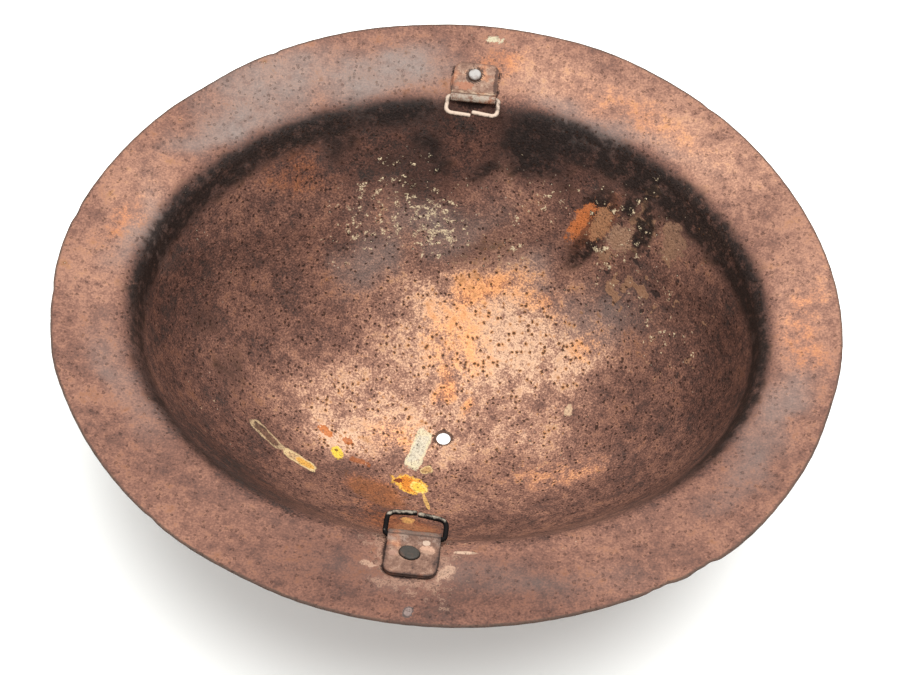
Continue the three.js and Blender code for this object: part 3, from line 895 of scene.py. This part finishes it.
def fold_line():
    """The strip's middle line as out and up, from the lower layer's end round the eye and back."""
    radius = eye_inside + STRIP / 2
    line = [(out, lower_layer) for out in outs_to_corner()[:0:-1]]
    for share in np.linspace(0, 1, 29):
        angle = -math.pi / 2 - (math.pi + FOLD_SLOPE) * share
        line.append((EYE_FROM_CORNER + radius * math.cos(angle), eye_height + radius * math.sin(angle)))
    out, up = line[-1]
    flat_from = out + (up - upper_layer) / math.tan(FOLD_SLOPE)
    line.append(((out + flat_from) / 2 - FOLD_EASE / 3, (up + upper_layer) / 2 + FOLD_EASE / 3))
    line.append((flat_from - FOLD_EASE, upper_layer + FOLD_EASE * 0.67))
    line.append((flat_from + FOLD_EASE, upper_layer + FOLD_EASE * 0.13))
    line += [(out, upper_layer) for out in outs_to_corner() if out > flat_from + FOLD_EASE * 2]
    return np.array(line)


def strip_outline(half_width, thickness):
    """A flat strip's section with rounded edges, as across and up."""
    flat = half_width - STRIP_BEVEL
    within = flat - STRIP_BEVEL * 1.5
    top = [(across, thickness / 2) for across in (-flat, *np.linspace(-within, within, 13), flat)]
    rest = thickness / 2 - STRIP_BEVEL
    for degrees in (60, 30, 0, -30, -60):
        a = math.radians(degrees)
        lift = rest * np.sign(degrees)
        top.append((flat + STRIP_BEVEL * math.cos(a), lift + STRIP_BEVEL * math.sin(a)))
    return np.array(top + [(-across, -up) for across, up in top])


def skin_over(name, rings):
    """A closed skin over rings of equal count, capped at both ends."""
    count = len(rings[0])
    faces = [tuple(range(count))[::-1]]
    for k in range(len(rings) - 1):
        for i in range(count):
            j = (i + 1) % count
            faces.append((k * count + i, k * count + j, (k + 1) * count + j, (k + 1) * count + i))
    faces.append(tuple(range((len(rings) - 1) * count, len(rings) * count)))
    mesh = bpy.data.meshes.new(name)
    mesh.from_pydata(np.vstack(rings).tolist(), [], faces)
    shaped = bmesh.new()
    shaped.from_mesh(mesh)
    bmesh.ops.recalc_face_normals(shaped, faces=shaped.faces)
    shaped.to_mesh(mesh)
    shaped.free()
    mesh.polygons.foreach_set("use_smooth", [len(p.vertices) == 4 for p in mesh.polygons])
    piece = bpy.data.objects.new(name, mesh)
    bpy.context.scene.collection.objects.link(piece)
    return piece


def unevenness_at(x, y, length):
    """Smooth lumps between -1 and 1, of about the given length."""
    return noise_kit.noise(Vector((x / length, y / length, 3.7)))


def folded_bracket(side, lap):
    line = fold_line()
    ahead = np.gradient(line, axis=0)
    ahead /= np.linalg.norm(ahead, axis=1)[:, None]
    rings = []
    for k, ((out, up), (ahead_out, ahead_up)) in enumerate(zip(line, ahead)):
        half_width = BRACKET_WIDTH / 2
        past = out - (bracket_end - BRACKET_CORNER)
        if past > 0:
            half_width += math.sqrt(max(BRACKET_CORNER**2 - past**2, 0)) - BRACKET_CORNER
        first_or_last = k in (0, len(line) - 1)
        section = strip_outline(half_width, STRIP * (0.55 if first_or_last else 1))
        ring = []
        lapped = (out - LAP_FROM) / LAP_LENGTH
        for across, rise in section:
            x = across * (1 + WIDTH_UNEVEN * unevenness_at(out, across, 0.0025))
            if up < upper_layer - STRIP / 2 and 0 < lapped < 1 and across < 0:
                x -= lap * math.sin(math.pi * lapped) ** 0.5 * (across / -half_width) ** 4
            if rise > 0:
                rise += LUMPS * unevenness_at(across + 0.05, out + up * 2, 0.003)
            ring.append((x, out - ahead_up * rise, up + ahead_out * rise))
        rings.append(ring)
    piece = skin_over("strap_bracket_" + side["name"], [np.array(ring) for ring in rings])

    # Each point is told how far it is on the fold's top, in the crease behind it, in the eye's shade
    # or at the strip's rim.
    across, out, up = np.array([p.co for p in piece.data.vertices]).T
    above = up > upper_layer - STRIP / 4
    corner_out = np.maximum(out - bracket_end + BRACKET_CORNER, 0)
    corner_across = np.maximum(np.abs(across) - BRACKET_WIDTH / 2 + BRACKET_CORNER, 0)
    from_edge = BRACKET_CORNER - np.hypot(corner_out, corner_across)
    turned_in = np.clip((eye_height + 0.0004 - up) / 0.0006, 0, 1) * (out < EYE_FROM_CORNER)
    shade = np.exp(-(((out - SHADE_AT) / SHADE_WIDTH) ** 2))
    store(piece, "barrel", above * np.clip((BARREL_END - out) / SHADE_WIDTH, 0, 1) * (1 - turned_in))
    store(piece, "crease", above * np.exp(-(((out - CREASE_AT) / CREASE_WIDTH) ** 2)))
    store(piece, "shaded", np.maximum(turned_in, above * shade))
    store(piece, "rim", np.clip(1 - from_edge / RIM_DARK_BAND, 0, 1))
    piece.data.transform(side_frame(side))
    return piece


BRACKET_TONES = {
    0.0: (0.012, 0.008, 0.006),
    0.3: (0.050, 0.026, 0.019),
    0.6: (0.135, 0.070, 0.047),
    0.8: (0.210, 0.125, 0.088),
    1.0: (0.330, 0.235, 0.165),
}
FAR_PLATE = {
    "tone": 0.74, "rim": -0.25, "crease": (0.42, 0.32, 0.22), "barrel": (0.260, 0.220, 0.175),
    "marks": table(
        "x y long wide turn square ragged colour share",
        (-5.2, 110.2, 3.6, 1.9, 0, 2.4, 1.3, (0.260, 0.105, 0.058), 0.75),
        (7.6, 113.5, 0.7, 7.5, 0, 2.4, 1.3, (0.040, 0.018, 0.012), 0.8),
        # A dark ring round the rivet's head, which is painted shadow.
        (-1.5, 115.4, 3.7, 3.6, 0, 2.4, 1.3, (0.030, 0.018, 0.013), 0.85),
    ),
}
NEAR_PLATE = {
    "tone": 0.66, "rim": -0.45, "crease": (0.21, 0.155, 0.125), "barrel": (0.085, 0.060, 0.048),
    "marks": table(
        "x y long wide turn square ragged colour share",
        (5.6, -109.8, 2.6, 1.7, 0, 2.4, 1.3, (0.400, 0.240, 0.165), 0.75),
        (4.8, -107.0, 1.2, 0.7, 0, 2.4, 1.3, (0.440, 0.330, 0.250), 0.75),
        (-6.6, -112.2, 1.7, 1.3, 0, 2.4, 1.3, (0.270, 0.150, 0.110), 0.6),
        (2.4, -110.9, 5.0, 1.1, 0, 2.4, 1.3, (0.050, 0.026, 0.018), 0.3),
    ),
}


def bracket_rust(name, plate):
    material, tree, shader, place = new_material("bracket_rust_" + name)
    grain = use_group(tree, rust_grain, {"Place": place, "Size": 0.6})
    # The plate is made darker near its outer edges.
    tone = times(tree, stored(tree, "rim"), plate["rim"], plus=plate["tone"])
    colour = rust_colour(tree, spread_tone(tree, tone, grain, 0.6, 0.9, 0.6), BRACKET_TONES)
    orange_share = times(tree, eased(tree, grain["Broad"], 0.52, 0.64), 0.6)
    colour = laid_over(tree, orange_share, colour, (1.35, 0.82, 0.50, 1), "MULTIPLY")
    unevenness = worked_out(tree, "ADD", grain["Mottle"], grain["Fine"])
    unevenness = worked_out(tree, "SUBTRACT", unevenness, 1.0)
    # Marks on the plate; on the far one, a dark ring round the rivet's head is painted shadow.
    for mark in plate["marks"]:
        mask = stain_and_shade_masks(tree, place, unevenness, mark)["Mask"]
        share = times(tree, mask, mark["share"])
        colour = laid_over(tree, share, colour, (*mark["colour"], 1))
    # The fold's top and the band behind it take their own colours; the far fold's lighter top is worn and
    # carries a painted highlight.
    for band, covering in (("crease", 0.8), ("barrel", 0.85)):
        seen = times(tree, stored(tree, band), eased(tree, grain["Mottle"], 0.38, 0.62))
        colour = laid_over(tree, times(tree, seen, covering), colour, (*plate[band], 1))
    shaded = times(tree, stored(tree, "shaded"), 0.85)
    colour = laid_over(tree, shaded, colour, (0.012, 0.007, 0.005, 1))
    roughness = times(tree, grain["Fine"], 0.3, plus=0.5)
    height = times(tree, grain["Height"], 0.55)
    finish_steel(tree, shader, colour, roughness, 0.25, height)
    return material


for side, lap, plate in ((FAR, 0.0009, FAR_PLATE), (NEAR, 0.0003, NEAR_PLATE)):
    bracket = folded_bracket(side, lap)
    bracket.data.materials.append(bracket_rust(side["name"], plate))
    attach(bracket, "helmet")
    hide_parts("strap_bracket_" + side["name"])

# The rivets that hold the brackets, the far one a proud round button and the near one hammered
# down to a flat oval. Both are clenched under the brim.
RIVET_FROM_EYE = 0.0085
RIVET_SHANK = 0.0032
TAIL_RADIUS = 0.0033
TAIL_HEIGHT = 0.0012
HEAD_SEAT = 0.00005
HEAD_DISH = 0.05
BATTERED = 0.04
BUTTON = {
    "aside": -0.0005, "outward": 0.0024,
    "long": 0.0029, "wide": 0.0028, "high": 0.0018, "turn": 10, "flat": 0.60,
}
HAMMERED = {
    "aside": 0.0009, "outward": -0.0010,
    "long": 0.0040, "wide": 0.0031, "high": 0.0009, "turn": -17, "flat": 0.72,
}


def clenched_rivet(side, head):
    bracket_top = upper_layer + STRIP / 2
    middle = (head["aside"], EYE_FROM_CORNER + RIVET_FROM_EYE + head["outward"])
    turn = math.radians(head["turn"])

    # The tail and the shank are round, and the head is drawn out to an oval.
    round_part = []
    for share in np.linspace(0.02, 1, 9):
        round_part.append((TAIL_RADIUS * share, -SHEET - TAIL_HEIGHT * math.sqrt(1 - share**2 * 0.97)))
    round_part += [(TAIL_RADIUS, -SHEET), (RIVET_SHANK / 2, -SHEET), (RIVET_SHANK / 2, bracket_top)]
    oval_part = [(1, bracket_top - HEAD_SEAT)]
    for angle in np.linspace(0, math.pi / 2, 12)[:-1]:
        out = head["flat"] + (1 - head["flat"]) * math.cos(angle)
        oval_part.append((out, bracket_top + head["high"] * math.sin(angle)))
    for share in (0.8, 0.6, 0.4, 0.2, 0.05):
        dish = HEAD_DISH * head["high"] * (1 - share)
        oval_part.append((head["flat"] * share, bracket_top + head["high"] - dish))

    rings = []
    for part, long, wide in ((round_part, 1, 1), (oval_part, head["long"], head["wide"])):
        for radius, up in part:
            ring = []
            for a in np.linspace(0, 2 * math.pi, 40, endpoint=False):
                size = radius * (1 + BATTERED * unevenness_at(math.cos(a) + up * 300, math.sin(a), 0.7))
                along_it = size * long * math.cos(a)
                across_it = size * wide * math.sin(a)
                x = middle[0] + along_it * math.cos(turn) - across_it * math.sin(turn)
                y = middle[1] + along_it * math.sin(turn) + across_it * math.cos(turn)
                ring.append((x, y, up))
            rings.append(np.array(ring))
    piece = skin_over("bracket_rivet_" + side["name"], rings)
    # How near each point lies to the head's top, where it is lighter: worn, and with a painted highlight.
    sunk = bracket_top + head["high"] - np.array([p.co.z for p in piece.data.vertices])
    store(piece, "worn_and_highlit", np.clip(1 - sunk / (0.6 * head["high"]), 0, 1))
    piece.data.transform(side_frame(side))
    return piece


for side, head, dull, bright in (
    (FAR, BUTTON, (0.040, 0.028, 0.024, 1), (0.300, 0.285, 0.270, 1)),
    (NEAR, HAMMERED, (0.012, 0.008, 0.006, 1), (0.036, 0.031, 0.026, 1)),
):
    rivet_steel, tree, shader, place = new_material("rivet_steel_" + side["name"])
    grain = use_group(tree, rust_grain, {"Place": place, "Size": 0.4})
    # The head turns lighter towards its top, worn and with a painted highlight.
    worn_and_highlit = worked_out(tree, "SUBTRACT", stored(tree, "worn_and_highlit"), 0.6)
    worn_and_highlit = eased(tree, times(tree, grain["Mottle"], 1.2, plus=worn_and_highlit), 0.1, 0.9)
    colour = laid_over(tree, worn_and_highlit, dull, bright)
    rusty = times(tree, eased(tree, grain["Broad"], 0.5, 0.62), 0.35)
    colour = laid_over(tree, rusty, colour, (0.110, 0.055, 0.036, 1))
    roughness = times(tree, worn_and_highlit, -0.25, plus=0.75)
    height = times(tree, grain["Height"], 0.4)
    finish_steel(tree, shader, colour, roughness, 0.15, height)

    rivet = clenched_rivet(side, head)
    rivet.data.materials.append(rivet_steel)
    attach(rivet, "helmet")
    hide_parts("bracket_rivet_" + side["name"])

# The strap loops, square links of round wire turning in the brackets' eyes, each with its cut ends
# meeting in the outer bar. The near one is still black with a painted highlight along its top, and the far one
# is lighter along its top, rubbed and with a painted highlight.
LOOP_REACH = 0.0092
LOOP_CORNER = 0.003
EYE_CORNER = 0.0016
LOOP_SPLIT = 0.0006
CUT_BEVEL = 0.00012
WIRE_SIDES = 16
WIRE_STEP = 0.0008
FAR_ENDS = {"left_corner": 1.00, "left_end": 1.08, "right_end": 0.87, "right_corner": 1.03}
NEAR_ENDS = {"left_corner": 0.83, "left_end": 0.98, "right_end": 1.03, "right_corner": 0.96}


def wire_path(ends_at):
    """The wire's middle line, from its one end round through the eye to the other."""
    legs = BRACKET_WIDTH / 2 + CLEARANCE + WIRE / 2
    corners = [
        (-LOOP_SPLIT / 2, ends_at["left_end"], 0),
        (-legs, ends_at["left_corner"], LOOP_CORNER),
        (-legs, 0, EYE_CORNER),
        (legs, 0, EYE_CORNER),
        (legs, ends_at["right_corner"], LOOP_CORNER),
        (LOOP_SPLIT / 2, ends_at["right_end"], 0),
    ]
    spots = [np.array([x, -share * LOOP_REACH]) for x, share, _ in corners]
    path = []
    start = spots[0]
    for k in range(1, len(spots) - 1):
        here = spots[k]
        bend = corners[k][2]
        before = here + (spots[k - 1] - here) / np.linalg.norm(spots[k - 1] - here) * bend
        after = here + (spots[k + 1] - here) / np.linalg.norm(spots[k + 1] - here) * bend
        steps = max(2, int(np.linalg.norm(before - start) / WIRE_STEP))
        path += [start + (before - start) * t for t in np.linspace(0, 1, steps)[:-1]]
        for t in np.linspace(0, 1, 9)[:-1]:
            path.append((1 - t) ** 2 * before + 2 * t * (1 - t) * here + t * t * after)
        start = after
    path += [start + (spots[-1] - start) * t for t in np.linspace(0, 1, 12)]
    return np.array(path)


def wire_ring(spot, way, thickness):
    """The wire's outline square to its way, with its thickness as a share of WIRE."""
    around = np.linspace(0, 2 * math.pi, WIRE_SIDES, endpoint=False)
    aside = WIRE / 2 * thickness * np.cos(around)
    above = WIRE / 2 * thickness * np.sin(around)
    return np.column_stack([spot[0] + aside * way[1], spot[1] - aside * way[0], above])


def bent_loop(side, ends_at):
    path = wire_path(ends_at)
    ahead = np.gradient(path, axis=0)
    ahead /= np.linalg.norm(ahead, axis=1)[:, None]
    first, last = ahead[0], ahead[-1]
    rings = [wire_ring(path[0] - CUT_BEVEL * first, first, 0.6), wire_ring(path[0], first, 0.93)]
    for spot, way in zip(path[1:-1], ahead[1:-1]):
        rings.append(wire_ring(spot, way, 1 + 0.03 * unevenness_at(*spot, 0.0016)))
    rings += [wire_ring(path[-1], last, 0.93), wire_ring(path[-1] + CUT_BEVEL * last, last, 0.6)]
    piece = skin_over("strap_loop_" + side["name"], rings)
    _, along_leg, up = np.array([p.co for p in piece.data.vertices]).T
    # The wire's top, most of all along the outer bar, takes the rubbed wear and the painted highlight.
    on_bar = np.clip((-along_leg / LOOP_REACH - 0.72) / 0.1, 0, 1)
    store(piece, "top", np.clip(up / WIRE + 0.5, 0, 1) * (0.76 + 0.24 * on_bar))
    lie = Matrix.Translation((0, EYE_FROM_CORNER, eye_height)) @ Matrix.Rotation(-BRIM_RISE, 4, "X")
    piece.data.transform(side_frame(side) @ lie)
    return piece


for side, ends_at, dull, bright, wear_and_highlight_from, wear_and_highlight_to in (
    (FAR, FAR_ENDS, (0.035, 0.020, 0.015, 1), (0.410, 0.320, 0.250, 1), 0.38, 0.88),
    (NEAR, NEAR_ENDS, (0.003, 0.002, 0.002, 1), (0.260, 0.220, 0.170, 1), 0.80, 1.15),
):
    loop_wire, tree, shader, place = new_material("loop_wire_" + side["name"])
    grain = use_group(tree, rust_grain, {"Place": place, "Size": 0.5})
    # Towards the wire's top the colour turns to the bright one: rubbed wear and a painted highlight.
    wear_and_highlight = worked_out(tree, "SUBTRACT", stored(tree, "top"), 0.45)
    wear_and_highlight = times(tree, grain["Mottle"], 0.9, plus=wear_and_highlight)
    wear_and_highlight = eased(tree, wear_and_highlight, wear_and_highlight_from, wear_and_highlight_to)
    colour = laid_over(tree, wear_and_highlight, dull, bright)
    roughness = times(tree, wear_and_highlight, -0.3, plus=0.68)
    height = times(tree, grain["Height"], 0.35)
    finish_steel(tree, shader, colour, roughness, 0.08, height)

    loop = bent_loop(side, ends_at)
    loop.data.materials.append(loop_wire)
    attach(loop, "loop_" + side["name"])
    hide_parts("strap_loop_" + side["name"])

size = {"cad": [list(corner) for corner in cad_bounds], "visual": [list(corner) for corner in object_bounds()]}
